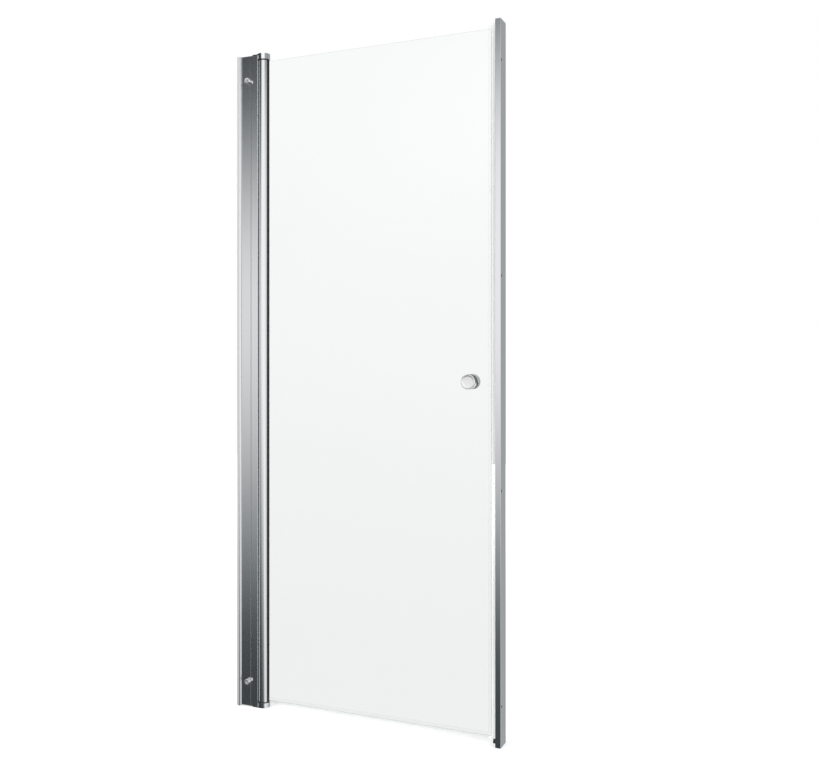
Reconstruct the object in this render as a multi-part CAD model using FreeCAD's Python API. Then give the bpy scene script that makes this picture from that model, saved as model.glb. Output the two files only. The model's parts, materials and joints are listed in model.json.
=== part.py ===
import FreeCAD, Part
import math
import os

# Pivot shower door for a niche between two walls, all sizes in millimetres.
# X runs from the hinge wall (-) to the strike wall (+), -Y is the room side, +Z is up.
# The origin is on the tray, midway between the walls, in the middle plane of the glass.

os.makedirs("parts", exist_ok=True)

# ---- Driving sizes -----------------------------------------------------------

# Overall
opening_width = 800.0          # from wall to wall
frame_height = 1900.0          # wall channel and strike, from the tray up
lip_proud = 5.0                # wall channel lip in front of the jamb face
lip_wall = 1.8                 # metal of the lip
web_wall = 2.2                 # metal against the wall

# Wall fixings, the same on both walls
fixing_count = 4
fixing_end = 107.0             # first and last hole from the profile ends
fixing_radius = 2.5

# Pivot column
axis_to_wall = 76.5            # turning axis from the hinge wall
column_radius = 16.0
column_wall = 2.2
slot_wall = 1.7                # metal round the glazing slot
slot_floor = 5.8               # bottom of the glazing slot from the axis

# Jamb, which slides on the wall channel while the door is fitted
jamb_proud = 2.0               # jamb face in front of the column
jamb_wall = 2.0
cradle_gap = 1.2               # running gap between column and jamb
nose_inset = 10.5              # the jamb's nose stops this far short of the axis
nose_radius = 0.5
nose_wall = 3.0                # solid metal behind the nose
adjust_travel = 7.5            # how far the jamb can be pushed towards the wall
lip_overlap = 2.5              # jamb edge hidden behind the lip
partition_to_axis = 25.5       # closed end of the jamb's open side
groove_to_axis = 32.5          # drill guide line on the jamb face
groove_depth = 0.7
groove_half_width = 0.8
port_to_axis = 22.0            # screw port for the pivot brackets
port_wall = 1.9
jamb_short = 0.5               # jamb stops this far below the frame's top
wiper_width = 3.0
wiper_groove = 1.2
wiper_round = 0.05

# Clamp screws that hold the jamb to the wall channel
clamp_to_axis = 40.3
clamp_end = 74.0               # from the frame's top and bottom
clamp_head_radius = 8.0
clamp_head_height = 12.0
clamp_key_width = 6.0          # across the flats of the socket
clamp_key_depth = 3.9
clamp_shank_radius = 2.5
clamp_nut_width = 14.0
clamp_nut_height = 18.0
clamp_nut_thickness = 4.0
tongue_wall = 2.0
tongue_end_relief = 6.0        # tongues stop short for the bracket plates

# Pivot brackets
plate_thickness = 2.5
boss_radius = 18.5
boss_height = 11.5             # beyond the plate, towards the column
crown_height = 2.5             # top boss above its plate
bracket_screw_radius = 1.6
bracket_screw_length = 16.0
bracket_head_radius = 3.2
driver_slot_width = 0.8
driver_slot_depth = 0.8
pin_radius = 3.0
pin_in_boss = 12.0
pin_in_bush = 20.0
pin_end_gap = 1.0              # bore of the bush beyond the pin

# Bushes
bush_flange = 2.5
bush_shank = 26.0
top_gap = 0.8                  # lift-off play under the top boss

# Glass
glass_thickness = 6.0
glass_to_strike_wall = 32.0
glass_above_column_foot = 4.4
glass_below_column_top = 1.7
glass_corner = 2.0
spacer_length = 60.0
spacer_depth = 1.0
spacer_count = 3
gasket_width = 4.0             # each side of the glass
gasket_lip = 2.2               # beyond the column's surface
gasket_tip = 0.5
gasket_inset = 0.7             # gasket's inner edge from the slot's floor

# Edge seal and strike strip with their magnets
seal_jaw = 9.0
seal_wall = 1.2
seal_lead = 1.0                # chamfer of the jaws
seal_step = 0.6                # slope from the web to the bulb
bulb_reach = 7.8
bulb_round = 1.0
bulb_proud = 0.9               # bulb in front of the glass face
bulb_wall = 0.9
seal_below_glass = 7.5
seal_above_glass = 7.5
magnet_gap = 0.3               # between the two magnetic faces
magnet_inset = 2.0             # door magnet above the seal's lower end
strip_width = 8.0
strip_lead = 1.6               # strip starts this far past the seal's web
strip_wall = 1.0
strip_back_wall = 2.0
strip_root = 3.0               # solid plastic next to the strike
strip_round = 1.0
strip_end = 0.5                # strip stops short of the frame's ends
strip_foot_width = 7.4
strip_foot_depth = 2.2
strip_neck_width = 3.8

# Strike
strike_width = 15.0
strike_wall = 2.0
strike_edge_radius = 0.8
strike_divider = 2.0           # pocket's rear wall in front of the strip
strike_fixing_inset = 7.7      # holes behind the front face

# Bottom seal
bottom_jaw = 9.0
bottom_jaw_wall = 1.0
bottom_web = 1.2
bottom_blade = 1.2
blade_root = 1.0               # thickening of the blade at the web
blade_tip = 1.0
bottom_drop = 8.5              # glass edge down to the tips of the lips
deflector_reach = 6.0
deflector_root = 0.6
seal_end_gap = 0.2             # from the bracket boss and the edge seal

# Knobs
knob_height = 953.0            # above the tray
knob_to_glass_edge = 57.0
knob_radius = 20.0
knob_body = 18.0
knob_neck = 1.5
knob_neck_radius = 10.0
knob_face_chamfer = 1.2
knob_washer = 2.0
stud_radius = 3.0
stud_in_knob = 12.0
stud_end_gap = 1.0
glass_hole_radius = 6.0

# Clearances
slide_gap = 0.4                # tongues inside the jamb
lip_gap = 0.3                  # lip over the jamb face
running_gap = 0.05             # pin in bush, on the radius
fit_gap = 0.1                  # loose pieces in their seats
boss_gap = 0.2                 # bracket boss to the cradle and the nose
swing_gap = 0.1                # bottom boss to the bush that turns on it

# Working
past = 1.0                     # a cutter reaches this far beyond what it cuts
tiny = 1e-6

# ---- Places worked out from the driving sizes --------------------------------

hinge_wall_x = -opening_width / 2
strike_wall_x = opening_width / 2
axis_x = hinge_wall_x + axis_to_wall

cradle_radius = column_radius + cradle_gap
jamb_face = column_radius + jamb_proud
jamb_inner = jamb_face - jamb_wall
lip_inner = jamb_face + lip_gap
frame_half_depth = lip_inner + lip_proud
tongue_face = jamb_inner - slide_gap
tongue_back = tongue_face - tongue_wall

jamb_edge_x = hinge_wall_x + web_wall + adjust_travel + lip_gap
lip_end_x = jamb_edge_x + lip_overlap
nose_x = axis_x - nose_inset
partition_x = axis_x - partition_to_axis
tongue_end_x = partition_x - jamb_wall - adjust_travel - slide_gap
clamp_x = axis_x - clamp_to_axis
clamp_heights = (clamp_end, frame_height - clamp_end)
jamb_bottom = plate_thickness
jamb_top = frame_height - jamb_short

port_x = axis_x - port_to_axis
port_radius = bracket_screw_radius + running_gap

boss_top = jamb_top + plate_thickness + crown_height
column_bottom = plate_thickness + boss_height + swing_gap + bush_flange
column_top = jamb_top - boss_height - top_gap - bush_flange
bore_radius = pin_radius + running_gap

glass_face = glass_thickness / 2
slot_face = glass_face + gasket_width
glass_left = axis_x + slot_floor + spacer_depth
glass_right = strike_wall_x - glass_to_strike_wall
glass_bottom = column_bottom + glass_above_column_foot
glass_top = column_top - glass_below_column_top

seal_web_x = glass_right + seal_wall
bulb_front = glass_face + bulb_proud
bulb_back = glass_face + bulb_proud / 2
bulb_end_x = seal_web_x + bulb_reach
strip_front = bulb_back + magnet_gap
strip_middle = strip_front + strip_width / 2
strip_tip_x = seal_web_x + strip_lead
strike_x = strike_wall_x - strike_width

knob_x = glass_right - knob_to_glass_edge
fixing_pitch = (frame_height - 2 * fixing_end) / (fixing_count - 1)
fixing_heights = [fixing_end + i * fixing_pitch for i in range(fixing_count)]


# ---- Small helpers -----------------------------------------------------------

def vec(x, y, z=0.0):
    return FreeCAD.Vector(x, y, z)


def face(start, *steps):
    """Flat face in XY: a step is (x, y) for a line or ((x, y), (x, y)) for an arc through a point."""
    edges = []
    here = start
    for step in steps + (start,):
        if isinstance(step[0], tuple):
            middle, end = step
            edges.append(Part.Arc(vec(*here), vec(*middle), vec(*end)).toShape())
        else:
            end = step
            if math.dist(here, end) < tiny:
                continue
            edges.append(Part.LineSegment(vec(*here), vec(*end)).toShape())
        here = end
    return Part.Face(Part.Wire(edges))


def bar(section, bottom, top):
    """Upright extrusion of a section drawn in XY."""
    solid = section.extrude(vec(0, 0, top - bottom))
    solid.translate(vec(0, 0, bottom))
    return solid


def block(x, y, z):
    """Box from three (low, high) pairs."""
    size = (x[1] - x[0], y[1] - y[0], z[1] - z[0])
    return Part.makeBox(*size, vec(x[0], y[0], z[0]))


def post(radius, x, y, bottom, top):
    """Upright cylinder."""
    return Part.makeCylinder(radius, top - bottom, vec(x, y, bottom))


def rod_y(radius, x, z, start, end):
    """Cylinder along Y."""
    return Part.makeCylinder(radius, end - start, vec(x, start, z), vec(0, 1, 0))


def mirrored_y(shape):
    return shape.mirror(vec(0, 0, 0), vec(0, 1, 0))


def both_sides(shape):
    """A shape with its copy behind the middle plane, as one solid."""
    return shape.fuse(mirrored_y(shape)).removeSplitter()


def corner_arc(centre, radius, turn):
    """Point on an arc at an angle in degrees."""
    angle = math.radians(turn)
    return (centre[0] + radius * math.cos(angle), centre[1] + radius * math.sin(angle))


def save(name, *solids):
    shape = solids[0] if len(solids) == 1 else Part.makeCompound(list(solids))
    shape.exportStep(os.path.join("parts", name + ".step"))


# ---- Hinge side, fixed to the wall -------------------------------------------

def wall_channel():
    """Web on the wall, two hooked lips over the jamb and two tongues inside it."""
    round_x = lip_end_x - lip_proud
    centre = (round_x, -lip_inner)
    inner = lip_proud - lip_wall
    web_x = hinge_wall_x + web_wall
    half = face(
        (hinge_wall_x, 0),
        (hinge_wall_x, -frame_half_depth),
        (round_x, -frame_half_depth),
        (corner_arc(centre, lip_proud, -45), (lip_end_x, -lip_inner)),
        (lip_end_x - lip_wall, -lip_inner),
        (corner_arc(centre, inner, -45), (round_x, lip_wall - frame_half_depth)),
        (web_x, lip_wall - frame_half_depth),
        (web_x, -tongue_face),
        (tongue_end_x, -tongue_face),
        (tongue_end_x, -tongue_back),
        (web_x, -tongue_back),
        (web_x, 0),
    )
    channel = both_sides(bar(half, 0, frame_height))
    across = (web_x, tongue_end_x + past)
    for low in (0, frame_height - tongue_end_relief):
        high = low + tongue_end_relief
        channel = channel.cut(block(across, (-tongue_face, tongue_face), (low, high)))
    for z in fixing_heights:
        hole = Part.makeCylinder(fixing_radius, web_wall, vec(hinge_wall_x, 0, z), vec(1, 0, 0))
        channel = channel.cut(hole)
    for z in clamp_heights:
        channel = channel.cut(clamp_slot(z))
    return channel


def clamp_slot(z):
    """Slot in the front tongue, as long as the jamb's travel."""
    radius = clamp_shank_radius + slide_gap
    start = rod_y(radius, clamp_x - adjust_travel, z, -tongue_face, -tongue_back)
    end = rod_y(radius, clamp_x, z, -tongue_face, -tongue_back)
    across = (clamp_x - adjust_travel, clamp_x)
    middle = block(across, (-tongue_face, -tongue_back), (z - radius, z + radius))
    return start.fuse([middle, end])


# ---- Jamb and what it carries ------------------------------------------------

def jamb_profile():
    """Hollow section that straddles the tongues and wraps round the column."""
    cradle_back = cradle_radius + jamb_wall
    nose_y = -math.sqrt(cradle_radius ** 2 - nose_inset ** 2)
    nose_turn = math.degrees(math.atan2(nose_y, -nose_inset))
    nose_centre = (nose_x - nose_radius, nose_radius - jamb_face)
    groove_x = axis_x - groove_to_axis
    half = face(
        (axis_x - cradle_radius, 0),
        (corner_arc((axis_x, 0), cradle_radius, (nose_turn - 180) / 2), (nose_x, nose_y)),
        (nose_x, nose_radius - jamb_face),
        (corner_arc(nose_centre, nose_radius, -45), (nose_x - nose_radius, -jamb_face)),
        (groove_x + groove_half_width, -jamb_face),
        (groove_x, groove_depth - jamb_face),
        (groove_x - groove_half_width, -jamb_face),
        (jamb_edge_x, -jamb_face),
        (jamb_edge_x, -jamb_inner),
        (partition_x - jamb_wall, -jamb_inner),
        (partition_x - jamb_wall, 0),
    )
    jamb = both_sides(bar(half, jamb_bottom, jamb_top))
    across = (partition_x, nose_x - nose_wall)
    cell = block(across, (-jamb_inner, jamb_inner), (jamb_bottom, jamb_top))
    cell = cell.cut(post(cradle_back, axis_x, 0, jamb_bottom, jamb_top))
    cell = cell.cut(post(port_radius + port_wall, port_x, 0, jamb_bottom, jamb_top))
    jamb = jamb.cut([cell, post(port_radius, port_x, 0, jamb_bottom, jamb_top)])
    groove = block(
        (axis_x - cradle_radius - wiper_groove, axis_x - column_radius),
        (-wiper_width / 2, wiper_width / 2),
        (jamb_bottom, jamb_top),
    )
    jamb = jamb.cut(groove)
    for z in clamp_heights:
        jamb = jamb.cut(rod_y(clamp_shank_radius + fit_gap, clamp_x, z, -jamb_face, -jamb_inner))
    return jamb


def wiper_seal():
    """Strip in the cradle that closes the running gap behind the column."""
    back = axis_x - cradle_radius - wiper_groove
    tip = axis_x - column_radius - fit_gap
    half = wiper_width / 2
    section = face(
        (back, -half),
        (axis_x - cradle_radius, -half),
        (tip - wiper_round, -half / 3),
        ((tip, 0), (tip - wiper_round, half / 3)),
        (axis_x - cradle_radius, half),
        (back, half),
    )
    return bar(section, column_bottom, column_top)


def hexagon_prism(width, x, z, start, end):
    """Six-sided prism along Y, with its width across the flats."""
    reach = width / math.sqrt(3)
    points = []
    for i in range(7):
        angle = math.radians(60 * i)
        points.append(vec(x + reach * math.cos(angle), start, z + reach * math.sin(angle)))
    return Part.Face(Part.makePolygon(points)).extrude(vec(0, end - start, 0))


def clamp_screw(z):
    """Socket head on the jamb face, shank through jamb and tongue into the nut."""
    top = -jamb_face - clamp_head_height
    head = rod_y(clamp_head_radius, clamp_x, z, top, -jamb_face)
    nut_back = -tongue_back + fit_gap + clamp_nut_thickness
    screw = head.fuse(rod_y(clamp_shank_radius, clamp_x, z, -jamb_face, nut_back))
    return screw.cut(hexagon_prism(clamp_key_width, clamp_x, z, top, top + clamp_key_depth))


def clamp_nut(z):
    """Flat slide nut behind the tongue."""
    front = -tongue_back + fit_gap
    nut = block(
        (clamp_x - clamp_nut_width / 2, clamp_x + clamp_nut_width / 2),
        (front, front + clamp_nut_thickness),
        (z - clamp_nut_height / 2, z + clamp_nut_height / 2),
    )
    return nut.cut(rod_y(clamp_shank_radius, clamp_x, z, front, front + clamp_nut_thickness))


def bracket_casting(crown):
    """Bracket with its outer face down: crown, plate and boss from z = 0 up."""
    plate_top = crown + plate_thickness
    boss_face = plate_top + boss_height
    plate = block((partition_x - jamb_wall, axis_x), (-jamb_face, jamb_face), (crown, plate_top))
    upright = [e for e in plate.Edges if e.BoundBox.ZLength > tiny and e.BoundBox.XMax < nose_x]
    plate = plate.makeFillet(nose_radius, upright)
    boss = post(boss_radius, axis_x, 0, 0, boss_face)
    reach = boss_radius + past
    cradle_side = block((axis_x - reach, nose_x + boss_gap), (-reach, reach), (plate_top, boss_face))
    spigot = post(cradle_radius - boss_gap, axis_x, 0, plate_top, boss_face)
    casting = plate.fuse([boss.cut(cradle_side), spigot]).removeSplitter()
    casting = casting.cut(post(pin_radius, axis_x, 0, boss_face - pin_in_boss, boss_face))
    return casting.cut(countersunk(crown, plate_top))


def countersunk(low, high):
    """Cone and shank of a bracket screw, head at the low end."""
    at = vec(port_x, 0, low)
    cone_height = bracket_head_radius - bracket_screw_radius
    cone = Part.makeCone(bracket_head_radius, bracket_screw_radius, cone_height, at)
    return cone.fuse(post(bracket_screw_radius, port_x, 0, low, high))


def raised(shape, height):
    """Lifted so that z = 0 lands at the height given."""
    lifted = shape.copy()
    lifted.translate(vec(0, 0, height))
    return lifted


def upside_down(shape, height):
    """Turned over about the X direction, then lifted."""
    turned = shape.copy()
    turned.rotate(vec(0, 0, 0), vec(1, 0, 0), 180)
    return raised(turned, height)


def bracket_screw(low):
    """Countersunk screw with a driver slot, head at the low end."""
    half_slot = driver_slot_width / 2
    slot = block(
        (port_x - bracket_head_radius, port_x + bracket_head_radius),
        (-half_slot, half_slot),
        (low, low + driver_slot_depth),
    )
    return countersunk(low, low + bracket_screw_length).cut(slot)


def pivot_pin():
    """Pin with the boss face at z = 0."""
    return post(pin_radius, axis_x, 0, -pin_in_boss, pin_in_bush)


# ---- Leaf: what turns --------------------------------------------------------

def pivot_column():
    """Round tube with a deep slot for the glass."""
    low, high = column_bottom, column_top
    reach = axis_x + column_radius + past
    outside = post(column_radius, axis_x, 0, low, high)
    hollow = post(column_radius - column_wall, axis_x, 0, low, high)
    slot_back = axis_x + slot_floor
    side = slot_face + slot_wall
    hollow = hollow.cut(block((slot_back - slot_wall, reach), (-side, side), (low, high)))
    slot = block((slot_back, reach), (-slot_face, slot_face), (low, high))
    return outside.cut([hollow, slot])


def column_bush():
    """End bush with the tube's end at z = 0: flange below it, many-sided shank inside the tube."""
    flange = post(column_radius, axis_x, 0, -bush_flange, 0)
    reach = column_radius - column_wall - fit_gap
    corners = [corner_arc((axis_x, 0), reach, turn) for turn in (108, 144, 180, 216, 252)]
    to_flat = slot_floor - slot_wall - fit_gap
    half = math.sqrt(reach ** 2 - to_flat ** 2)
    shank = face((axis_x + to_flat, half), *corners, (axis_x + to_flat, -half))
    bush = flange.fuse(bar(shank, 0, bush_shank)).removeSplitter()
    bore_top = pin_in_bush + pin_end_gap - bush_flange
    return bush.cut(post(bore_radius, axis_x, 0, -bush_flange, bore_top))


def glass_pane():
    """Pane with rounded corners on the strike side and a hole for the knobs."""
    pane = block((glass_left, glass_right), (-glass_face, glass_face), (glass_bottom, glass_top))
    corners = [e for e in pane.Edges if e.BoundBox.YLength > tiny and e.BoundBox.XMin > glass_left + tiny]
    pane = pane.makeFillet(glass_corner, corners)
    return pane.cut(rod_y(glass_hole_radius, knob_x, knob_height, -glass_face, glass_face))


def glazing_gasket():
    """Wedge between the glass and the front jaw of the column, down to the column's foot."""
    jaw_x = axis_x + math.sqrt(column_radius ** 2 - slot_face ** 2)
    lip_x = axis_x + column_radius + gasket_lip
    inner_x = axis_x + slot_floor + gasket_inset
    section = face(
        (inner_x, -glass_face),
        (lip_x, -glass_face),
        (lip_x, -glass_face - gasket_tip),
        (jaw_x, -slot_face),
        (inner_x, -slot_face),
    )
    return bar(section, column_bottom, glass_top)


def glass_spacers():
    """Setting blocks between the glass edge and the slot's floor."""
    pitch = (glass_top - glass_bottom) / spacer_count
    blocks = []
    for i in range(spacer_count):
        low = glass_bottom + pitch * (i + 0.5) - spacer_length / 2
        high = low + spacer_length
        blocks.append(block((axis_x + slot_floor, glass_left), (-glass_face, glass_face), (low, high)))
    return blocks


def edge_seal():
    """Clip-on profile: two jaws on the glass and a hollow bulb for the magnet."""
    low = glass_bottom - seal_below_glass
    high = glass_top + seal_above_glass
    outer = glass_face + seal_wall
    jaw_x = glass_right - seal_jaw
    round_centre = (bulb_end_x - bulb_round, bulb_round - bulb_front)
    section = face(
        (jaw_x, -glass_face),
        (jaw_x + seal_lead, -outer),
        (seal_web_x, -outer),
        (seal_web_x + seal_step, -bulb_front),
        (bulb_end_x - bulb_round, -bulb_front),
        (corner_arc(round_centre, bulb_round, -45), (bulb_end_x, bulb_round - bulb_front)),
        (bulb_end_x, bulb_back),
        (seal_web_x + seal_step, bulb_back),
        (seal_web_x, outer),
        (jaw_x + seal_lead, outer),
        (jaw_x, glass_face),
        (glass_right, glass_face),
        (glass_right, -glass_face),
    )
    seal = bar(section, low, high)
    return seal.cut(block(*magnet_space(0.0), (low, high)))


def magnet_space(gap):
    """X and Y limits of the bulb's hollow, drawn in by a gap all round."""
    across = (seal_web_x + bulb_wall + gap, bulb_end_x - bulb_wall - gap)
    deep = (bulb_wall - bulb_front + gap, bulb_back - bulb_wall - gap)
    return across, deep


def door_magnet():
    """Flexible magnet inside the edge seal."""
    return block(*magnet_space(fit_gap), (glass_bottom - seal_below_glass + magnet_inset, glass_top))


def bottom_seal():
    """Clip-on profile under the glass: a blade and a slanting water deflector."""
    left = axis_x + boss_radius + seal_end_gap
    right = glass_right - seal_jaw - seal_end_gap
    outer = glass_face + bottom_jaw_wall
    jaw_top = glass_bottom + bottom_jaw
    web_low = glass_bottom - bottom_web
    tip = glass_bottom - bottom_drop
    half_blade = bottom_blade / 2
    section = face(
        (-outer, web_low),
        (-half_blade - blade_root, web_low),
        (-half_blade, tip + blade_tip),
        ((0, tip), (half_blade, tip + blade_tip)),
        (half_blade, web_low),
        (glass_face - deflector_root, web_low),
        (glass_face + deflector_reach - blade_tip, tip),
        (glass_face + deflector_reach, tip),
        (outer, web_low + deflector_root),
        (outer, jaw_top - seal_lead),
        (glass_face, jaw_top),
        (glass_face, glass_bottom),
        (-glass_face, glass_bottom),
        (-glass_face, jaw_top),
        (-outer, jaw_top - seal_lead),
    )
    section.rotate(vec(0, 0, 0), vec(1, 0, 0), 90)
    section.rotate(vec(0, 0, 0), vec(0, 0, 1), 90)
    seal = section.extrude(vec(right - left, 0, 0))
    seal.translate(vec(left, 0, 0))
    return seal


def knob():
    """Front knob: a round body on a neck, bored for the stud, turned about Y."""
    base = knob_washer
    body_low = base + knob_neck
    body_high = body_low + knob_body
    front = knob_face_chamfer
    hole = stud_radius + running_gap
    hole_end = base + stud_in_knob + stud_end_gap
    section = face(
        (hole, base),
        (knob_neck_radius, base),
        (knob_neck_radius, body_low),
        (knob_radius, body_low),
        (knob_radius, body_high - front),
        (knob_radius - front, body_high),
        (0, body_high),
        (0, hole_end),
        (hole, hole_end),
    )
    turned = section.revolve(vec(0, 0, 0), vec(0, 1, 0), 360)
    turned.rotate(vec(0, 0, 0), vec(1, 0, 0), 180)
    turned.translate(vec(knob_x, -glass_face, knob_height))
    return turned


def knob_washer_ring():
    """Soft washer between the front knob and the glass."""
    front = -glass_face - knob_washer
    outer = rod_y(knob_neck_radius, knob_x, knob_height, front, -glass_face)
    return outer.cut(rod_y(stud_radius + fit_gap, knob_x, knob_height, front, -glass_face))


def knob_sleeve():
    """Sleeve that keeps the stud off the edge of the glass hole."""
    outer = rod_y(glass_hole_radius - fit_gap, knob_x, knob_height, -glass_face, glass_face)
    return outer.cut(rod_y(stud_radius + fit_gap, knob_x, knob_height, -glass_face, glass_face))


def knob_stud():
    """Stud through the glass that joins the two knobs."""
    reach = glass_face + knob_washer + stud_in_knob
    return rod_y(stud_radius, knob_x, knob_height, -reach, reach)


# ---- Strike side, fixed to the other wall ------------------------------------

def strike_profile():
    """Open pocket for the wall screws in front, closed cell with a slot for the strip behind."""
    front = -frame_half_depth
    back = frame_half_depth
    edge = strike_edge_radius
    divider = strip_front - strike_divider - strike_wall
    inner_x = strike_wall_x - strike_wall
    section = face(
        (strike_wall_x, back),
        (strike_x, back),
        (strike_x, divider),
        (inner_x, divider),
        (inner_x, front + strike_wall),
        (strike_x, front + strike_wall),
        (strike_x, front + edge),
        (corner_arc((strike_x + edge, front + edge), edge, 225), (strike_x + edge, front)),
        (strike_wall_x - edge, front),
        (corner_arc((strike_wall_x - edge, front + edge), edge, 315), (strike_wall_x, front + edge)),
    )
    strike = bar(section, 0, frame_height)
    wall_x = strike_x + strike_wall
    cell = block((wall_x, inner_x), (divider + strike_wall, back - strike_wall), (0, frame_height))
    half_slot = strip_neck_width / 2 + fit_gap
    deep = (strip_middle - half_slot, strip_middle + half_slot)
    strike = strike.cut([cell, block((strike_x, wall_x), deep, (0, frame_height))])
    for z in fixing_heights:
        at = vec(inner_x, front + strike_fixing_inset, z)
        strike = strike.cut(Part.makeCylinder(fixing_radius, strike_wall, at, vec(1, 0, 0)))
    return strike


def strike_strip():
    """Plastic strip clipped into the strike, with a hollow for its magnet."""
    low, high = strip_end, frame_height - strip_end
    body = block((strip_tip_x, strike_x), (strip_front, strip_front + strip_width), (low, high))
    corners = [e for e in body.Edges if e.BoundBox.ZLength > tiny and e.BoundBox.XMax < strike_x - tiny]
    body = body.makeFillet(strip_round, corners)
    half_neck = strip_neck_width / 2
    half_foot = strip_foot_width / 2
    foot_x = strike_x + strike_wall + fit_gap
    neck = block((strike_x, foot_x), (strip_middle - half_neck, strip_middle + half_neck), (low, high))
    across = (foot_x, foot_x + strip_foot_depth)
    foot = block(across, (strip_middle - half_foot, strip_middle + half_foot), (low, high))
    strip = body.fuse([neck, foot]).removeSplitter()
    return strip.cut(block(*strip_magnet_space(0.0), (low, high)))


def strip_magnet_space(gap):
    """X and Y limits of the strip's hollow, drawn in by a gap all round."""
    across = (strip_tip_x + strip_wall + gap, strike_x - strip_root - gap)
    deep = (strip_front + strip_wall + gap, strip_front + strip_width - strip_back_wall - gap)
    return across, deep


def strike_magnet():
    """Flexible magnet inside the strike strip."""
    return block(*strip_magnet_space(fit_gap), (strip_end, frame_height - strip_end))


# ---- Every piece, one file each ----------------------------------------------

save("wall_channel", wall_channel())
save("jamb_profile", jamb_profile())
save("jamb_wiper_seal", wiper_seal())
save("clamp_screws", *[clamp_screw(z) for z in clamp_heights])
save("clamp_nuts", *[clamp_nut(z) for z in clamp_heights])

save("bottom_pivot_bracket", bracket_casting(0.0))
save("top_pivot_bracket", upside_down(bracket_casting(crown_height), boss_top))
save("bracket_screws", bracket_screw(0.0), upside_down(bracket_screw(crown_height), boss_top))
save("bottom_pivot_pin", raised(pivot_pin(), plate_thickness + boss_height))
save("top_pivot_pin", upside_down(pivot_pin(), jamb_top - boss_height))

save("pivot_column", pivot_column())
save("bottom_bush", raised(column_bush(), column_bottom))
save("top_bush", upside_down(column_bush(), column_top))
save("glass_pane", glass_pane())
save("front_glazing_gasket", glazing_gasket())
save("rear_glazing_gasket", mirrored_y(glazing_gasket()))
save("glass_spacers", *glass_spacers())
save("edge_seal", edge_seal())
save("door_magnet", door_magnet())
save("bottom_seal", bottom_seal())

save("front_knob", knob())
save("rear_knob", mirrored_y(knob()))
save("knob_washers", knob_washer_ring(), mirrored_y(knob_washer_ring()))
save("knob_sleeve", knob_sleeve())
save("knob_stud", knob_stud())

save("strike_profile", strike_profile())
save("strike_strip", strike_strip())
save("strike_magnet", strike_magnet())
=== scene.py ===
import json
import math

import bmesh
import bpy
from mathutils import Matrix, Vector

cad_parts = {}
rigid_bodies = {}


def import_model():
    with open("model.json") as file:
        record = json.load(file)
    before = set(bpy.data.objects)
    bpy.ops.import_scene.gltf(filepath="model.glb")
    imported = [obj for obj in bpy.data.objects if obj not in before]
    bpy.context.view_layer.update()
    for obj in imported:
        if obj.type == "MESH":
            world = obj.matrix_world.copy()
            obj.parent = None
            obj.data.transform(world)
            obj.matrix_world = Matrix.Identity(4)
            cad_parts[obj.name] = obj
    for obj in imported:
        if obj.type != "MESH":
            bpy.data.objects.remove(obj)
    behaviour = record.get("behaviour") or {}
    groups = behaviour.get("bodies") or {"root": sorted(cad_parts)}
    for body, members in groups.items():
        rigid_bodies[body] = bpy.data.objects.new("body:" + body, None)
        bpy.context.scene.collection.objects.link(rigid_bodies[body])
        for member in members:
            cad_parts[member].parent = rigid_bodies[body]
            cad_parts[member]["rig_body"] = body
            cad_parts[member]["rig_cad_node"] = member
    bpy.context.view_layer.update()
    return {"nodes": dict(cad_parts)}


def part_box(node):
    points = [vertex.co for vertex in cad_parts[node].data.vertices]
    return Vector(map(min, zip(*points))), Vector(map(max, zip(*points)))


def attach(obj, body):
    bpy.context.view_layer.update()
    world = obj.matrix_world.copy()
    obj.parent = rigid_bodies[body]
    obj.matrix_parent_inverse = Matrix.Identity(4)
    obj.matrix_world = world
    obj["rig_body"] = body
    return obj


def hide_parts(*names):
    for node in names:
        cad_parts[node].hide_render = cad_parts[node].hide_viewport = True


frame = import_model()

bl_info = {
    "name": "Pivot shower door",
    "version": (1, 0, 0),
    "blender": (4, 5, 0),
    "location": "3D View > Sidebar > Shower door",
    "description": "Dresses the packed shower door: knobs, screws, brackets, finishes and a studio",
    "category": "Object",
}

NODES = frame["nodes"]


# ---- Places read from the frame ----------------------------------------------

def middle(node):
    low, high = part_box(node)
    return (low + high) / 2


def span(node):
    low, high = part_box(node)
    return high - low


KNOB = middle("front_knob")
KNOB_RADIUS = span("front_knob").x / 2
KNOB_FRONT = -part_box("front_knob")[0].y
KNOB_BACK = -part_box("front_knob")[1].y
AXIS_X = middle("bottom_pivot_pin").x


# ---- Settings a user would change --------------------------------------------

def size(name, about, value):
    return bpy.props.FloatProperty(
        name=name, description=about, default=value, min=0.0, unit="LENGTH", precision=5)


def share(name, about, value):
    return bpy.props.FloatProperty(
        name=name, description=about, default=value, min=0.0, max=1.0, subtype="FACTOR")


def tint(name, about, value):
    return bpy.props.FloatVectorProperty(
        name=name, description=about, default=value, min=0.0, max=1.0, size=3, subtype="COLOR")


class KnobSettings(bpy.types.PropertyGroup):
    neck_radius: size("Neck radius", "Radius of the neck next to the washer", 0.0100)
    neck_length: size("Neck length", "From the washer to the back of the body", 0.0015)
    back_round: size("Back edge", "Rounding of the body's back edge", 0.0010)
    front_round: size("Front edge", "Rounding of the body's front edge", 0.0018)
    dish: size("Dish", "Depth of the shallow dish in the front face", 0.0004)


class ScrewSettings(bpy.types.PropertyGroup):
    edge: size("Head edge", "Rounding of the head's outer edge", 0.0010)
    dish: size("Dish", "Depth of the hollow round the socket", 0.00045)
    socket: size("Socket width", "Across the flats of the hexagon socket", 0.0060)
    socket_depth: size("Socket depth", "Depth of the hexagon socket", 0.0039)


class BracketSettings(bpy.types.PropertyGroup):
    edge: size("Edge", "Width of the broken edges of the castings", 0.0005)


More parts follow.
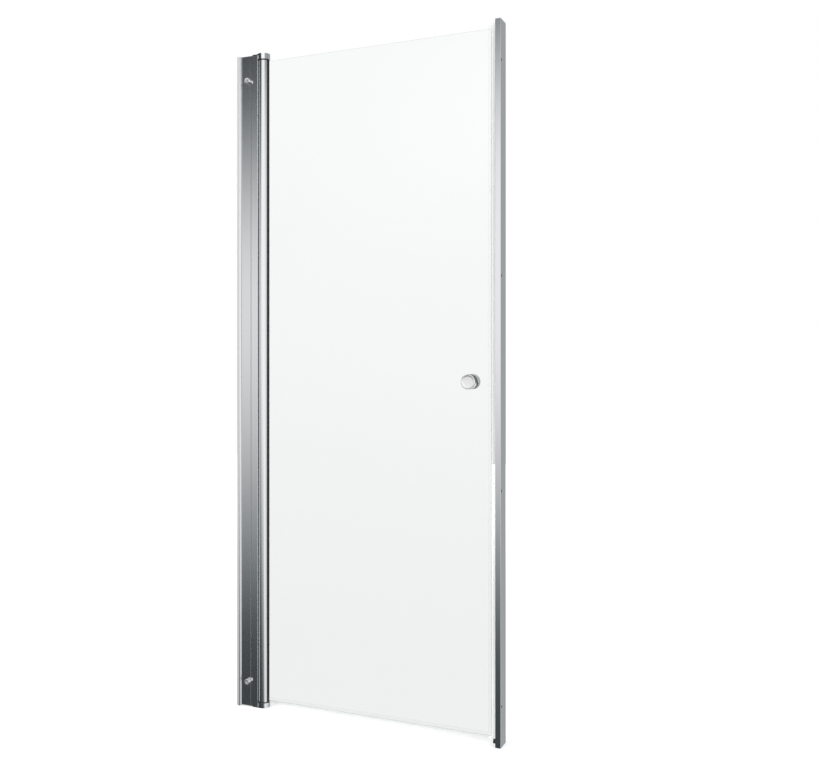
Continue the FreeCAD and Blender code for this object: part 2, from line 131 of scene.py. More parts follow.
class FinishSettings(bpy.types.PropertyGroup):
    aluminium: tint("Aluminium", "Bright anodised profiles", (0.74, 0.75, 0.76))
    chrome: tint("Chrome", "Pivot brackets and clamp screws", (0.80, 0.81, 0.82))
    satin: tint("Satin chrome", "Knobs", (0.90, 0.90, 0.90))
    rubber: tint("Rubber", "Glazing gaskets and wiper", (0.022, 0.022, 0.024))
    glass: tint("Glass", "Tint of the clear pane", (0.965, 0.975, 0.972))
    aluminium_roughness: share("Aluminium roughness", "Softness of the anodised finish", 0.15)


class StageSettings(bpy.types.PropertyGroup):
    floor: tint("Floor", "Colour of the studio floor", (0.86, 0.86, 0.86))
    sky: share("Fill", "Strength of the even light from all round", 0.62)


# ---- Small helpers -----------------------------------------------------------

def deselect():
    """Object mode with nothing selected."""
    if bpy.context.object and bpy.context.object.mode != "OBJECT":
        bpy.ops.object.mode_set(mode="OBJECT")
    bpy.ops.object.select_all(action="DESELECT")


def turned_blank(name, radius, low, high, at, sides):
    """Cylinder primitive along Y from low to high, open for editing."""
    deselect()
    bpy.ops.mesh.primitive_cylinder_add(
        vertices=sides, radius=radius, depth=high - low, rotation=(math.radians(90), 0, 0),
        location=(at.x, (low + high) / 2, at.z))
    blank = bpy.context.object
    blank.name = name
    bpy.ops.object.transform_apply(location=True, rotation=True, scale=True)
    bpy.ops.object.mode_set(mode="EDIT")
    return blank


def pick(kind, test):
    """Select the faces or edges of the mesh in edit mode that pass a test."""
    bpy.ops.mesh.select_all(action="DESELECT")
    bpy.ops.mesh.select_mode(type="FACE" if kind == "faces" else "EDGE")
    mesh = bpy.context.object.data
    shape = bmesh.from_edit_mesh(mesh)
    for item in getattr(shape, kind):
        item.select_set(bool(test(item)))
    bmesh.update_edit_mesh(mesh)


def pick_disc(y, slack=1e-6):
    pick("faces", lambda f: all(abs(v.co.y - y) < slack for v in f.verts))


def pick_ring(y, slack=1e-6):
    pick("edges", lambda e: all(abs(v.co.y - y) < slack for v in e.verts))


def move_y(distance):
    bpy.ops.transform.translate(value=(0, distance, 0))


def closed(piece, angle=30):
    """Back to object mode with clean outward faces and smooth round surfaces."""
    bpy.ops.mesh.select_all(action="SELECT")
    bpy.ops.mesh.remove_doubles(threshold=1e-7)
    bpy.ops.mesh.normals_make_consistent(inside=False)
    bpy.ops.object.mode_set(mode="OBJECT")
    deselect()
    piece.select_set(True)
    bpy.context.view_layer.objects.active = piece
    bpy.ops.object.shade_smooth_by_angle(angle=math.radians(angle))


def own_copy(piece, name):
    """Copy with its own mesh."""
    twin = piece.copy()
    twin.data = piece.data.copy()
    twin.name = name
    bpy.context.scene.collection.objects.link(twin)
    return twin


def edit(piece):
    """Into edit mode, with all of the piece selected."""
    deselect()
    piece.select_set(True)
    bpy.context.view_layer.objects.active = piece
    bpy.ops.object.mode_set(mode="EDIT")
    bpy.ops.mesh.select_all(action="SELECT")


def carry_out(piece, kind, **settings):
    """Add a modifier and apply it."""
    modifier = piece.modifiers.new(kind.title(), kind)
    for name, value in settings.items():
        setattr(modifier, name, value)
    deselect()
    piece.select_set(True)
    bpy.context.view_layer.objects.active = piece
    bpy.ops.object.modifier_apply(modifier=modifier.name)


def softened(node, name, width, body, slot, material):
    """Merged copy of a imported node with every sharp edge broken, standing for that node."""
    piece = NODES[node].copy()
    piece.data = NODES[node].data.copy()
    piece.name = name
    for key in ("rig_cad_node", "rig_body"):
        del piece[key]
    piece.parent = None
    bpy.context.scene.collection.objects.link(piece)
    edit(piece)
    bpy.ops.mesh.customdata_custom_splitnormals_clear()
    bpy.ops.mesh.remove_doubles(threshold=2e-6)
    bpy.ops.mesh.dissolve_limited(angle_limit=math.radians(0.5))
    bpy.ops.object.mode_set(mode="OBJECT")
    carry_out(piece, "BEVEL", width=width, segments=2, limit_method="ANGLE",
              angle_limit=math.radians(40), harden_normals=False, use_clamp_overlap=True)
    edit(piece)
    closed(piece, 35)
    carry_out(piece, "WEIGHTED_NORMAL", mode="FACE_AREA", weight=100, keep_sharp=True)
    finish_piece(piece, body, slot, material, node)
    return piece


def finish_piece(piece, body, slot, material, *nodes):
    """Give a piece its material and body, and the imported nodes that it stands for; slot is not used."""
    piece.data.materials.clear()
    piece.data.materials.append(material)
    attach(piece, body)
    if nodes:
        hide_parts(*nodes)


# A line of sight that only crosses the pane ends at this ray depth or less
STRAIGHT_DEPTH = 3.5


def darker(colour, keep):
    """A colour brought down to a share of itself."""
    return tuple(c * keep for c in colour)


class Nodes:
    """A material's or world's node tree, filled node by node."""

    def __init__(self, owner):
        owner.use_nodes = True
        self.tree = owner.node_tree
        self.tree.nodes.clear()

    def add(self, kind, **inputs):
        node = self.tree.nodes.new(kind)
        for name, value in inputs.items():
            self.put(node, name, value)
        return node

    def put(self, node, name, value):
        """Set or link an input by its name, or by its place where names repeat, such as i0."""
        numbered = name[0] == "i" and name[1:].isdigit()
        socket = node.inputs[int(name[1:]) if numbered else name.replace("_", " ")]
        if isinstance(value, bpy.types.NodeSocket):
            self.tree.links.new(value, socket)
        elif hasattr(value, "__len__") and len(value) == 3 and socket.type == "RGBA":
            socket.default_value = (*value, 1.0)
        else:
            socket.default_value = value

    def math(self, kind, a, b=0.0, clamp=False):
        node = self.add("ShaderNodeMath", i0=a, i1=b)
        node.operation = kind
        node.use_clamp = clamp
        return node.outputs[0]

    def ease(self, value, low, high, start=0.0, end=1.0):
        """Smooth step of a value between two limits, falling where the first is the larger."""
        if low > high:
            low, high, start, end = high, low, end, start
        node = self.tree.nodes.new("ShaderNodeMapRange")
        node.interpolation_type = "SMOOTHSTEP"
        self.put(node, "Value", value)
        self.put(node, "From_Min", low)
        self.put(node, "From_Max", high)
        self.put(node, "To_Min", start)
        self.put(node, "To_Max", end)
        return node.outputs[0]

    def hump(self, value, low, top_low, top_high, high):
        """Rises from low to top_low, falls from top_high to high."""
        return self.math("MULTIPLY", self.ease(value, low, top_low), self.ease(value, high, top_high))

    def place(self, scale):
        """Object coordinates, stretched."""
        where = self.add("ShaderNodeTexCoord").outputs["Object"]
        node = self.add("ShaderNodeMapping", Vector=where, Scale=scale)
        return node.outputs[0]

    def noise(self, place, scale, detail=2.0, rough=0.5):
        node = self.add("ShaderNodeTexNoise", Vector=place, Scale=scale, Detail=detail, Roughness=rough)
        return node.outputs["Fac"]

    def spread(self, value, low, high):
        """A 0 to 1 value taken to another range, straight."""
        return self.add("ShaderNodeMapRange", Value=value, To_Min=low, To_Max=high).outputs[0]

    def shade(self, value, colour, depth):
        """A colour that is darker by up to depth where value is 0."""
        return self.mixed(value, darker(colour, 1 - depth), colour)

    def mixed(self, value, low, high):
        """One colour turning into another as value goes from 0 to 1."""
        node = self.tree.nodes.new("ShaderNodeMix")
        node.data_type = "RGBA"
        self.put(node, "i0", value)
        self.put(node, "i6", low)
        self.put(node, "i7", high)
        return node.outputs[2]

    def behind_pane(self, path):
        """1 for what is seen straight through the glass, or through the seals on its edges."""
        straight = self.math("LESS_THAN", path["Ray Depth"], STRAIGHT_DEPTH)
        sealed = self.math("GREATER_THAN", path["Transparent Depth"], 0.5)
        return self.math("MULTIPLY", path["Is Transmission Ray"], self.math("MAXIMUM", straight, sealed))

    def bump(self, height, distance, strength=1.0):
        return self.add("ShaderNodeBump", Height=height, Distance=distance, Strength=strength).outputs[0]

    def surface(self, shader):
        self.add("ShaderNodeOutputMaterial", Surface=shader)


def principled(nodes, **inputs):
    return nodes.add("ShaderNodeBsdfPrincipled", **inputs).outputs[0]


def dress(material, *names):
    """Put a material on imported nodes."""
    for name in names:
        slots = NODES[name].data.materials
        slots.clear()
        slots.append(material)


# ---- Finishes ----------------------------------------------------------------

SATIN_ROUGHNESS = 0.25      # what the channel's plain lip adds to the roughness
GROOVE_SHADE_KEEP = 0.16          # share of its colour that metal keeps under the painted shade in the drill groove
HOLE_SHADOW_KEEP = 0.15            # and under the painted shadow round the wall fixings
SMOKY = (0.89, 0.90, 0.90)  # clear vinyl at its thick lips

# Places on the profiles, in metres
LIP_CHANGE = (0.0078, 0.0070)   # from the hinge wall, where the channel's bright lip turns plain
LIP_PLAIN = 0.60
GROOVE_TO_AXIS = 0.0325         # drill groove of the jamb, and its half width
GROOVE_HALF = 0.0012
GROOVE_SKIN = 0.00012           # the groove's floor starts this far behind the face
STRIKE_SKIN = 0.003             # the strike's wall with the fixings
FIXING_INSET = 0.0077           # behind the strike's front face
FIXING_FIRST = 0.107            # lowest fixing above the tray
FIXING_PITCH = 0.562
FIXING_REACH = 0.0045
LIP_HEIGHTS = (0.0180, 0.0100)  # the bottom seal turns smoky between these
FOOT_HEIGHT = 0.0105            # black foot of the strike strip


def extruded_aluminium(name, colour, roughness, dull=None, stain=None, holes=None):
    """Bright anodised metal with faint die lines, and up to three places that differ, two with painted
    shade.

    dull is where along X the finish starts and ends its change to a plain satin, and by how much.
    The fourth argument is painted shade in a groove: its middle along X, its half width, and the |y| inside
    which its floor lies.
    holes is a row of wall fixings: the x of the outer face, their y, the lowest one's height, their pitch
    and how far round each the metal gets a painted shadow."""
    material = bpy.data.materials.new(name)
    n = Nodes(material)
    lines = n.noise(n.place((900, 900, 1.5)), 1.0, 3.0)
    cloud = n.noise(n.place((6, 6, 2.2)), 1.0, 2.0)
    rough = n.math("ADD", n.spread(lines, roughness - 0.03, roughness + 0.03), n.spread(cloud, -0.02, 0.02))
    shaded = n.shade(lines, colour, 0.05)
    where = n.add("ShaderNodeSeparateXYZ", Vector=n.add("ShaderNodeTexCoord").outputs["Object"]).outputs
    metallic = 1.0
    if dull:
        start, end, depth = dull
        flat = n.ease(where[0], start, end)
        metallic = n.spread(flat, 1.0, 1.0 - depth)
        rough = n.math("ADD", rough, n.math("MULTIPLY", flat, SATIN_ROUGHNESS))
    # painted shade: the groove's floor is darkened as its shadow would darken it
    if stain:
        middle, half, face = stain
        near = n.math("LESS_THAN", n.math("ABSOLUTE", n.math("SUBTRACT", where[0], middle)), half)
        inside = n.math("LESS_THAN", n.math("ABSOLUTE", where[1]), face)
        shaded = n.mixed(n.math("MULTIPLY", near, inside), shaded, darker(colour, GROOVE_SHADE_KEEP))
    # painted shadow: the metal round each wall fixing is darkened and made less metallic
    if holes:
        outside, inset, first, pitch, reach = holes
        row = n.math("PINGPONG", n.math("SUBTRACT", where[2], first), pitch / 2)
        off = n.math("SUBTRACT", where[1], inset)
        away = n.math("SQRT", n.math("ADD", n.math("MULTIPLY", row, row), n.math("MULTIPLY", off, off)))
        round_hole = n.ease(away, reach, reach * 0.8)
        shadow = n.math("MULTIPLY", round_hole, n.math("GREATER_THAN", where[0], outside))
        shaded = n.mixed(shadow, shaded, darker(colour, HOLE_SHADOW_KEEP))
        metallic = n.math("MULTIPLY", metallic, n.math("SUBTRACT", 1.0, n.math("MULTIPLY", shadow, 0.6)))
    n.surface(principled(
        n, Base_Color=shaded, Metallic=metallic, Roughness=rough, Normal=n.bump(lines, 0.00001, 0.35)))
    return material


def polished_chrome(name, colour, roughness):
    """Plated casting: mirror finish with a slight ripple and fine wiping marks."""
    material = bpy.data.materials.new(name)
    n = Nodes(material)
    ripple = n.noise(n.place((90, 90, 90)), 1.0, 1.0)
    marks = n.noise(n.place((2600, 2600, 300)), 1.0, 4.0, 0.7)
    n.surface(principled(
        n, Base_Color=n.shade(marks, colour, 0.04), Metallic=1.0,
        Roughness=n.spread(marks, roughness, roughness + 0.08),
        Normal=n.bump(ripple, 0.00005, 0.25)))
    return material


def bright_screw(name):
    """Bright zinc plating, softer than the chrome, with turning marks round the head."""
    material = bpy.data.materials.new(name)
    n = Nodes(material)
    marks = n.noise(n.place((2400, 2400, 2400)), 1.0, 4.0, 0.7)
    n.surface(principled(
        n, Base_Color=n.shade(marks, (0.92, 0.92, 0.93), 0.06), Metallic=0.86,
        Roughness=n.spread(marks, 0.16, 0.26), Normal=n.bump(marks, 0.00001, 0.3)))
    return material


def satin_chrome(name, colour):
    """Plated and blasted metal with a very fine grain."""
    material = bpy.data.materials.new(name)
    n = Nodes(material)
    grain = n.noise(n.place((4000, 4000, 4000)), 1.0, 3.0, 0.7)
    n.surface(principled(
        n, Base_Color=n.shade(grain, colour, 0.05), Metallic=1.0,
        Roughness=n.spread(grain, 0.18, 0.26), Normal=n.bump(grain, 0.00001, 0.3)))
    return material


def plain_steel(name):
    """Stainless fastener with turning marks."""
    material = bpy.data.materials.new(name)
    n = Nodes(material)
    marks = n.noise(n.place((1800, 1800, 5200)), 1.0, 4.0, 0.6)
    n.surface(principled(
        n, Base_Color=n.shade(marks, (0.56, 0.57, 0.58), 0.14), Metallic=1.0,
        Roughness=n.spread(marks, 0.24, 0.42), Normal=n.bump(marks, 0.00002, 0.3)))
    return material


def matt_rubber(name, colour):
    """Dense rubber with a dull, lightly pored skin."""
    material = bpy.data.materials.new(name)
    n = Nodes(material)
    pores = n.noise(n.place((2200, 2200, 700)), 1.0, 4.0, 0.6)
    n.surface(principled(
        n, Base_Color=n.shade(pores, colour, 0.3), Roughness=n.spread(pores, 0.42, 0.62),
        Normal=n.bump(pores, 0.00003, 0.4)))
    return material


def clear_glass(name, colour):
    """Clear toughened pane, with the slight ripple of the rollers."""
    material = bpy.data.materials.new(name)
    n = Nodes(material)
    ripple = n.noise(n.place((1.2, 1.2, 9)), 1.0, 1.0)
    pane = principled(
        n, Base_Color=colour, Roughness=0.0, IOR=1.5, Transmission_Weight=1.0,
        Normal=n.bump(ripple, 0.00004, 0.3))
    clear = n.add("ShaderNodeBsdfTransparent", Color=colour).outputs[0]
    shadow = n.add("ShaderNodeLightPath").outputs["Is Shadow Ray"]
    n.surface(n.add("ShaderNodeMixShader", Fac=shadow, i1=pane, i2=clear).outputs[0])
    return material


def clear_vinyl(name, smoky=None, dark_foot=None):
    """Soft see-through plastic, slightly hazy, with a gloss that shows on its edges.

    smoky is the pair of heights between which it darkens, as the soft lips of a two-part profile do, and
    dark_foot the height below which it is black rubber."""
    material = bpy.data.materials.new(name)
    n = Nodes(material)
    haze = n.noise(n.place((500, 500, 30)), 1.0, 3.0)
    gloss = n.add("ShaderNodeFresnel", IOR=1.40).outputs[0]
    cover = n.math("ADD", n.math("MULTIPLY", gloss, 0.22), n.spread(haze, 0.0, 0.015), True)
    where = n.add("ShaderNodeSeparateXYZ", Vector=n.add("ShaderNodeTexCoord").outputs["Object"]).outputs
    tint = (0.996, 0.998, 0.998)
    if smoky:
        tint = n.mixed(n.ease(where[2], *smoky), tint, SMOKY)
    clear = n.add("ShaderNodeBsdfTransparent", Color=tint).outputs[0]
    skin = principled(
        n, Base_Color=(0.90, 0.92, 0.92), Roughness=n.spread(haze, 0.16, 0.30), IOR=1.45,
        Normal=n.bump(haze, 0.00002, 0.3))
    surface = n.add("ShaderNodeMixShader", Fac=cover, i1=clear, i2=skin).outputs[0]
    if dark_foot:
        low = n.math("LESS_THAN", where[2], dark_foot)
        rubber = principled(n, Base_Color=n.shade(haze, (0.05, 0.05, 0.055), 0.2), Roughness=0.5)
        surface = n.add("ShaderNodeMixShader", Fac=low, i1=surface, i2=rubber).outputs[0]
    n.surface(surface)
    return material


def pale_magnet(name):
    """White coated magnetic strip, which lets a little light through all over."""
    material = bpy.data.materials.new(name)
    n = Nodes(material)
    grain = n.noise(n.place((1500, 1500, 60)), 1.0, 3.0)
    coat = principled(
        n, Base_Color=n.shade(grain, (0.92, 0.93, 0.93), 0.05), Roughness=n.spread(grain, 0.40, 0.55),
        Normal=n.bump(grain, 0.00002, 0.3))
    clear = n.add("ShaderNodeBsdfTransparent", Color=(0.99, 0.99, 0.99)).outputs[0]
    n.surface(n.add("ShaderNodeMixShader", Fac=0.08, i1=clear, i2=coat).outputs[0])
    return material


def moulded_plastic(name, colour, low, high):
    """Moulded or extruded plastic with a fine, even texture."""
    material = bpy.data.materials.new(name)
    n = Nodes(material)
    grain = n.noise(n.place((1500, 1500, 400)), 1.0, 3.0)
    n.surface(principled(
        n, Base_Color=n.shade(grain, colour, 0.08), Roughness=n.spread(grain, low, high),
        Normal=n.bump(grain, 0.00002, 0.3)))
    return material


def finishes():
    """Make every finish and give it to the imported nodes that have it."""
    s = bpy.context.scene.door_finish
    tone, soft = s.aluminium, s.aluminium_roughness
    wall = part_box("wall_channel")[0].x
    lip = (wall + LIP_CHANGE[0], wall + LIP_CHANGE[1], LIP_PLAIN)
    face = -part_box("jamb_profile")[0].y
    groove = (AXIS_X - GROOVE_TO_AXIS, GROOVE_HALF, face - GROOVE_SKIN)
    low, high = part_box("strike_profile")
    fixings = (high.x - STRIKE_SKIN, low.y + FIXING_INSET, FIXING_FIRST, FIXING_PITCH, FIXING_REACH)
    dress(extruded_aluminium("Column_anodised", tone, soft), "pivot_column")
    dress(extruded_aluminium("Jamb_anodised", tone, soft, stain=groove), "jamb_profile")
    dress(extruded_aluminium("Channel_anodised", tone, soft, dull=lip), "wall_channel")
    dress(extruded_aluminium("Strike_anodised", tone, soft, holes=fixings), "strike_profile")
    dress(polished_chrome("Polished_chrome", s.chrome, 0.05),
          "top_pivot_bracket", "bottom_pivot_bracket")
    dress(bright_screw("Bright_screw"), "clamp_screws")
    dress(satin_chrome("Satin_chrome", s.satin), "front_knob", "rear_knob")
    dress(plain_steel("Stainless_steel"), "clamp_nuts", "bracket_screws",
          "bottom_pivot_pin", "top_pivot_pin", "knob_stud")
    dress(matt_rubber("Black_rubber", s.rubber), "jamb_wiper_seal", "front_glazing_gasket",
          "rear_glazing_gasket", "glass_spacers")
    dress(clear_glass("Clear_glass", s.glass), "glass_pane")
    dress(clear_vinyl("Clear_vinyl"), "edge_seal")
    dress(clear_vinyl("Lip_vinyl", smoky=LIP_HEIGHTS), "bottom_seal")
    dress(clear_vinyl("Strip_vinyl", dark_foot=FOOT_HEIGHT), "strike_strip")
    dress(pale_magnet("Magnet_strip"), "door_magnet", "strike_magnet")
    dress(moulded_plastic("Black_acetal", (0.022, 0.022, 0.024), 0.42, 0.60), "bottom_bush", "top_bush")
    dress(moulded_plastic("Pale_nylon", (0.85, 0.86, 0.85), 0.25, 0.4), "knob_washers", "knob_sleeve")


# ---- Studio ------------------------------------------------------------------

# A direction is given in degrees: side is its turn from the room (-Y) towards the strike wall (+X), and lift
# its height above the horizon.

BOX_TOP = 11.4                  # upper edge of the front soft box, as a lift
BOX_BULGE = 14.7                # how far it rises in front of the door
BOX_BULGE_SIDES = (-34.0, 4.0, 26.0, 66.0)
BOX_RIGHT = 6.0                 # and how far it stays up towards the strike wall
BOX_FOOT = (-6.8, -10.8)        # lower edge, from the hinge side to the front
BOX_FOOT_DROP = 29.0            # how far it drops towards the strike wall
BOX_LEVEL = 0.78
BOX_HEART = 0.42                # added to the level round the front
CEILING = 0.85
GROUND = 0.35
DARKEST = 0.06
REAR_LEVEL = (0.44, 0.06)       # behind the door, and where knobs mirror it through the pane
REAR_PANEL_SIDE = 170.0         # middle of that darker panel
THROUGH_PANE = (0.938, 1.02)    # background seen through the pane, low and high
STEEL_TINT = (0.87, 1.0, 1.05)  # cool cast of the darkest reflections

FLOOR_SIZE = 14.0
FLOOR_DROP = 0.0005             # below the door's feet
FLOOR_GLOW = (0.40, 0.95)       # near the door and far from it, to the camera only
FLOOR_THROUGH = (0.12, 0.93)    # floor by refracted light, and straight through the pane
CLEAR_WALLS = 24                # clear walls that a line of sight may cross
LAMP_TARGET = (0, 0, 0.9)

IMAGE_SIZE = (818, 773)
IMAGE_CENTRE = (371, 364.806)   # where the camera's axis meets the photograph
FOCAL_PIXELS = 978.508


def studio_world(fill):
    """White to the camera; even fill for dull surfaces; soft boxes for metal to mirror."""
    world = bpy.data.worlds.new("Studio")
    bpy.context.scene.world = world
    n = Nodes(world)
    way = n.add("ShaderNodeSeparateXYZ", Vector=n.add("ShaderNodeTexCoord").outputs["Generated"])
    x, y, z = way.outputs
    side = n.math("MULTIPLY", n.math("ARCTAN2", x, n.math("MULTIPLY", y, -1.0)), 180 / math.pi)
    lift = n.math("MULTIPLY", n.math("ARCSINE", z), 180 / math.pi)
    path = n.add("ShaderNodeLightPath").outputs

    # front soft box, between its upper and lower edge
    bulge = n.math("MULTIPLY", BOX_BULGE, n.hump(side, *BOX_BULGE_SIDES))
    top = n.math("ADD", n.math("ADD", BOX_TOP, bulge), n.ease(side, 40.0, 70.0, 0.0, BOX_RIGHT))
    steep = n.ease(side, -31.0, -17.0, 1.0, 1.33)
    above = n.ease(n.math("MULTIPLY", n.math("SUBTRACT", lift, top), steep), 7.0, -8.0)
    drop = n.ease(side, 15.0, 95.0, 0.0, BOX_FOOT_DROP)
    foot = n.math("SUBTRACT", n.ease(side, -35.0, 20.0, *BOX_FOOT), drop)
    below = n.ease(n.math("SUBTRACT", lift, foot), -12.0, 11.0)
    heart = n.math("MULTIPLY", BOX_HEART, n.hump(side, -60.0, 0.0, 35.0, 100.0))
    box = n.math("MULTIPLY", n.math("ADD", BOX_LEVEL, heart), n.math("MULTIPLY", above, below))

    # ceiling, ground and the darkest that anything gets
    box = n.math("MAXIMUM", box, n.math("MULTIPLY", n.ease(lift, 23.0, 38.0), CEILING))
    box = n.math("MAXIMUM", box, n.math("MULTIPLY", n.ease(lift, -30.0, -60.0), GROUND))
    box = n.math("MAXIMUM", box, DARKEST)

    # even wall behind the door, with a dark panel for what is mirrored through the pane
    rear = n.ease(n.math("ABSOLUTE", side), 110.0, 135.0)
    round_side = n.math("MODULO", n.math("ADD", side, 360.0), 360.0)
    turned = n.math("ABSOLUTE", n.math("SUBTRACT", round_side, REAR_PANEL_SIDE))
    panel = n.math("MULTIPLY", n.ease(turned, 40.0, 22.0), n.ease(n.math("ABSOLUTE", lift), 44.0, 32.0))
    panel = n.math("MULTIPLY", panel, path["Is Transmission Ray"])
    front = n.math("MULTIPLY", box, n.math("SUBTRACT", 1.0, rear))
    mirrored = n.math("ADD", front, n.math("MULTIPLY", rear, n.spread(panel, *REAR_LEVEL)))

    # each kind of ray gets its own light
    first = n.behind_pane(path)
    sharp = n.math("MULTIPLY", path["Is Glossy Ray"], n.math("SUBTRACT", 1.0, first))
    light = n.math("MULTIPLY", path["Is Diffuse Ray"], fill)
    light = n.math("ADD", light, n.math("MULTIPLY", sharp, mirrored))
    light = n.math("ADD", light, n.math("MULTIPLY", first, n.ease(lift, 2.0, 19.0, *THROUGH_PANE)))
    light = n.math("MAXIMUM", light, path["Is Camera Ray"])
    dim = n.math("MULTIPLY", sharp, n.ease(mirrored, 0.65, 0.05))
    cast = n.mixed(dim, (1, 1, 1), STEEL_TINT)
    back = n.add("ShaderNodeBackground", Color=cast, Strength=light).outputs[0]
    n.add("ShaderNodeOutputWorld", Surface=back)


def pale_floor(colour):
    """Large plain floor; white to the camera, yet it keeps the door's shadow."""
    deselect()
    bpy.ops.mesh.primitive_plane_add(size=FLOOR_SIZE, location=(0, 0, -FLOOR_DROP))
    floor = bpy.context.object
    floor.name = "Studio_floor"
    material = bpy.data.materials.new("Pale_floor")
    n = Nodes(material)
    dull = n.add("ShaderNodeBsdfDiffuse", Color=colour).outputs[0]
    path = n.add("ShaderNodeLightPath").outputs
    away = n.add("ShaderNodeVectorMath", i0=n.add("ShaderNodeTexCoord").outputs["Object"])
    away.operation = "LENGTH"
    shine = n.math("MULTIPLY", path["Is Camera Ray"], n.ease(away.outputs["Value"], 0.8, 4.0, *FLOOR_GLOW))
    glow = n.add("ShaderNodeEmission", Color=(1, 1, 1), Strength=shine).outputs[0]
    seen = n.add("ShaderNodeAddShader", i0=dull, i1=glow).outputs[0]
    far = n.spread(n.behind_pane(path), *FLOOR_THROUGH)
    behind = n.add("ShaderNodeEmission", Color=(1, 1, 1), Strength=far).outputs[0]
    n.surface(n.add("ShaderNodeMixShader", Fac=path["Is Transmission Ray"], i1=seen, i2=behind).outputs[0])
    floor.data.materials.append(material)
    floor.visible_glossy = False


def soft_lamp(name, place, width, height, power):
    """Area lamp turned to the door's middle, which shows in no reflection."""
    data = bpy.data.lights.new(name, "AREA")
    data.shape = "RECTANGLE"
    data.size = width
    data.size_y = height
    data.energy = power
    lamp = bpy.data.objects.new(name, data)
    bpy.context.scene.collection.objects.link(lamp)
    lamp.location = place
    lamp.rotation_euler = (Vector(LAMP_TARGET) - Vector(place)).to_track_quat("-Z", "Y").to_euler()
    lamp.visible_glossy = False
    lamp.visible_transmission = False


def photo_camera():
    """The photograph's own place and angle."""
    wide, tall = IMAGE_SIZE
    data = bpy.data.cameras.new("Photo_camera")
    camera = bpy.data.objects.new("Photo_camera", data)
    bpy.context.scene.collection.objects.link(camera)
    camera.location = (1.13537, -2.48063, 0.99792)
    camera.rotation_euler = (math.radians(90), 0, 0.422502)
    data.sensor_width = 36
    data.lens = FOCAL_PIXELS / wide * data.sensor_width
    data.shift_x = (wide / 2 - IMAGE_CENTRE[0]) / wide
    data.shift_y = -(tall / 2 - IMAGE_CENTRE[1]) / wide
    bpy.context.scene.camera = camera


# ---- Pieces ------------------------------------------------------------------

ROUND_STEPS = 128               # sides of a knob
HEAD_STEPS = 72                 # sides of a screw head
DISH_RINGS = (0.0008, 0.0010, 0.0040)   # land, slope and floor of the knob's dish, from the edge in
HEAD_LAND = 0.0003              # flat rim of a screw head
SHANK_RADIUS = 0.0025


def turn_knob(s):
    """Front knob: rounded body with a shallow dished face, on a short neck."""
    back = -KNOB_BACK - s.neck_length
    blank = turned_blank("front_knob_turned", KNOB_RADIUS, -KNOB_FRONT, back, KNOB, ROUND_STEPS)
    pick_ring(-KNOB_FRONT)
    bpy.ops.mesh.bevel(offset=s.front_round, segments=6, affect="EDGES", profile=0.5)
    pick_ring(back)
    bpy.ops.mesh.bevel(offset=s.back_round, segments=3, affect="EDGES", profile=0.5)
    pick_disc(back)
    bpy.ops.mesh.inset(thickness=KNOB_RADIUS - s.back_round - s.neck_radius)
    bpy.ops.mesh.extrude_region_move(TRANSFORM_OT_translate={"value": (0, s.neck_length, 0)})
    pick_disc(-KNOB_FRONT)
    land, slope, floor = DISH_RINGS
    bpy.ops.mesh.inset(thickness=land)
    bpy.ops.mesh.inset(thickness=slope)
    move_y(s.dish * 0.6)
    bpy.ops.mesh.inset(thickness=floor)
    move_y(s.dish * 0.4)
    closed(blank)
    return blank


def mirrored_twin(piece, name):
    """Copy on the other side of the glass."""
    twin = own_copy(piece, name)
    edit(twin)
    bpy.ops.transform.resize(value=(1, -1, 1), center_override=(0, 0, 0))
    closed(twin)
    return twin


def build_knobs(s, material):
    front = turn_knob(s)
    rear = mirrored_twin(front, "rear_knob_turned")
    finish_piece(front, "leaf", "satin_chrome", material, "front_knob")
    finish_piece(rear, "leaf", "satin_chrome", material, "rear_knob")


def build_clamp_screws(s, material):
    """Cap screws with a rounded head edge and a hexagon socket."""
    low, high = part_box("clamp_screws")
    radius = (high.x - low.x) / 2
    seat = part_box("jamb_profile")[0].y
    at = Vector(((low.x + high.x) / 2, 0, low.z + radius))
    screw = turned_blank("clamp_screw_low", radius, low.y, seat, at, HEAD_STEPS)
    pick_ring(low.y)
    bpy.ops.mesh.bevel(offset=s.edge, segments=4, affect="EDGES", profile=0.5)
    pick_disc(low.y)
    bpy.ops.mesh.inset(thickness=HEAD_LAND)
    bpy.ops.mesh.inset(thickness=radius - s.edge - HEAD_LAND - s.socket * 0.6)
    move_y(s.dish)
    pick_disc(seat)
    bpy.ops.mesh.inset(thickness=radius - SHANK_RADIUS)
    bpy.ops.mesh.extrude_region_move(TRANSFORM_OT_translate={"value": (0, high.y - seat, 0)})
    closed(screw)
    corner = s.socket / math.sqrt(3)
    cut = turned_blank("socket_cutter", corner, low.y - 0.002, low.y + s.socket_depth, at, 6)
    closed(cut)
    carry_out(screw, "BOOLEAN", object=cut, operation="DIFFERENCE", solver="EXACT")
    bpy.data.objects.remove(cut)
    edit(screw)
    closed(screw)
    upper = own_copy(screw, "clamp_screw_high")
    edit(upper)
    bpy.ops.transform.translate(value=(0, 0, high.z - low.z - 2 * radius))
    closed(upper)
    finish_piece(screw, "jamb", "chromed_screw", material, "clamp_screws")
    finish_piece(upper, "jamb", "chromed_screw", material)


class SHOWERDOOR_OT_knobs(bpy.types.Operator):
    """Turn the front and rear knobs"""
    bl_idname = "showerdoor.knobs"
    bl_label = "Knobs"

    def execute(self, context):
        build_knobs(context.scene.door_knob, bpy.data.materials["Satin_chrome"])
        return {"FINISHED"}


class SHOWERDOOR_OT_clamp_screws(bpy.types.Operator):
    """Make the two socket screws that clamp the jamb"""
    bl_idname = "showerdoor.clamp_screws"
    bl_label = "Clamp screws"

    def execute(self, context):
        build_clamp_screws(context.scene.door_screw, bpy.data.materials["Bright_screw"])
        return {"FINISHED"}


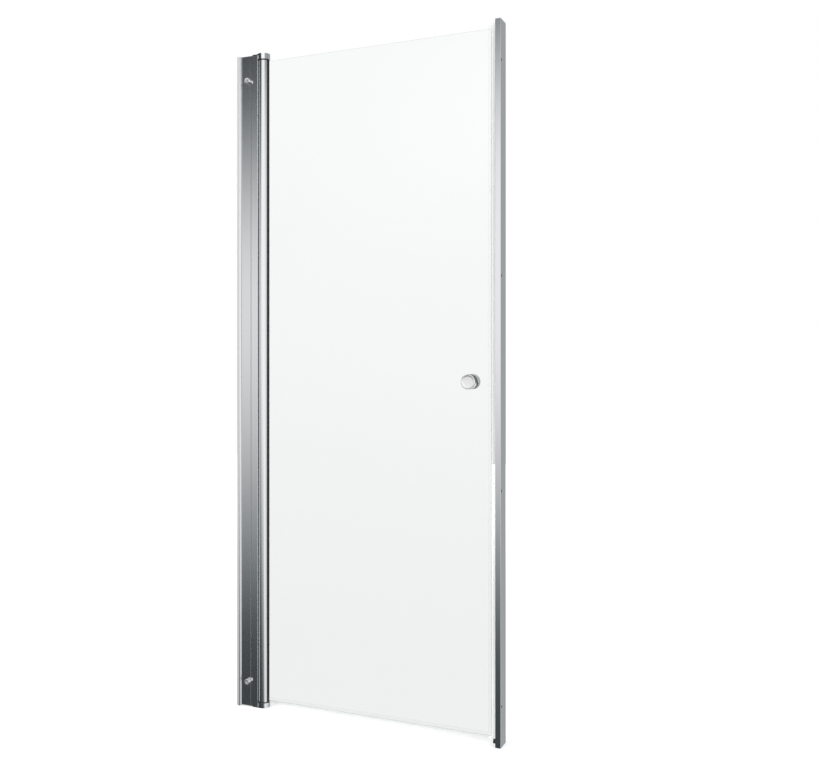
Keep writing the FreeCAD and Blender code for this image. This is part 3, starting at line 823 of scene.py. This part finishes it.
class SHOWERDOOR_OT_brackets(bpy.types.Operator):
    """Break the edges of the two pivot brackets"""
    bl_idname = "showerdoor.brackets"
    bl_label = "Pivot brackets"

    def execute(self, context):
        chrome = bpy.data.materials["Polished_chrome"]
        width = context.scene.door_bracket.edge
        softened("top_pivot_bracket", "top_bracket_cast", width, "jamb", "chromed_casting", chrome)
        softened("bottom_pivot_bracket", "bottom_bracket_cast", width, "jamb", "chromed_casting", chrome)
        return {"FINISHED"}


class SHOWERDOOR_OT_finishes(bpy.types.Operator):
    """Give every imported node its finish"""
    bl_idname = "showerdoor.finishes"
    bl_label = "Finishes"

    def execute(self, context):
        finishes()
        return {"FINISHED"}


class SHOWERDOOR_OT_stage(bpy.types.Operator):
    """Set up the floor, the light and the camera"""
    bl_idname = "showerdoor.stage"
    bl_label = "Studio"

    def execute(self, context):
        s = context.scene.door_stage
        context.scene.view_settings.view_transform = "Standard"
        context.scene.cycles.transparent_max_bounces = CLEAR_WALLS
        studio_world(s.sky)
        pale_floor(s.floor)
        soft_lamp("Key_lamp", place=(-1.6, -3.0, 2.9), width=2.2, height=2.2, power=60)
        soft_lamp("Side_lamp", place=(3.0, -1.0, 2.4), width=1.6, height=2.4, power=30)
        photo_camera()
        return {"FINISHED"}


class SHOWERDOOR_PT_sidebar(bpy.types.Panel):
    """Lists the pieces of the shower door"""
    bl_idname = "SHOWERDOOR_PT_sidebar"
    bl_label = "Shower door"
    bl_space_type = "VIEW_3D"
    bl_region_type = "UI"
    bl_category = "Shower door"

    def draw(self, context):
        for operator in OPERATORS:
            self.layout.operator(operator.bl_idname)


SETTINGS = {
    "door_knob": KnobSettings,
    "door_screw": ScrewSettings,
    "door_bracket": BracketSettings,
    "door_finish": FinishSettings,
    "door_stage": StageSettings,
}
OPERATORS = (
    SHOWERDOOR_OT_finishes,
    SHOWERDOOR_OT_knobs,
    SHOWERDOOR_OT_clamp_screws,
    SHOWERDOOR_OT_brackets,
    SHOWERDOOR_OT_stage,
)


def register():
    for name, group in SETTINGS.items():
        bpy.utils.register_class(group)
        setattr(bpy.types.Scene, name, bpy.props.PointerProperty(type=group))
    for item in (*OPERATORS, SHOWERDOOR_PT_sidebar):
        bpy.utils.register_class(item)


def unregister():
    for item in reversed((*OPERATORS, SHOWERDOOR_PT_sidebar)):
        bpy.utils.unregister_class(item)
    for name, group in SETTINGS.items():
        delattr(bpy.types.Scene, name)
        bpy.utils.unregister_class(group)


def main():
    register()
    for operator in OPERATORS:
        group, name = operator.bl_idname.split(".")
        getattr(getattr(bpy.ops, group), name)()


if __name__ == "__main__":
    main()
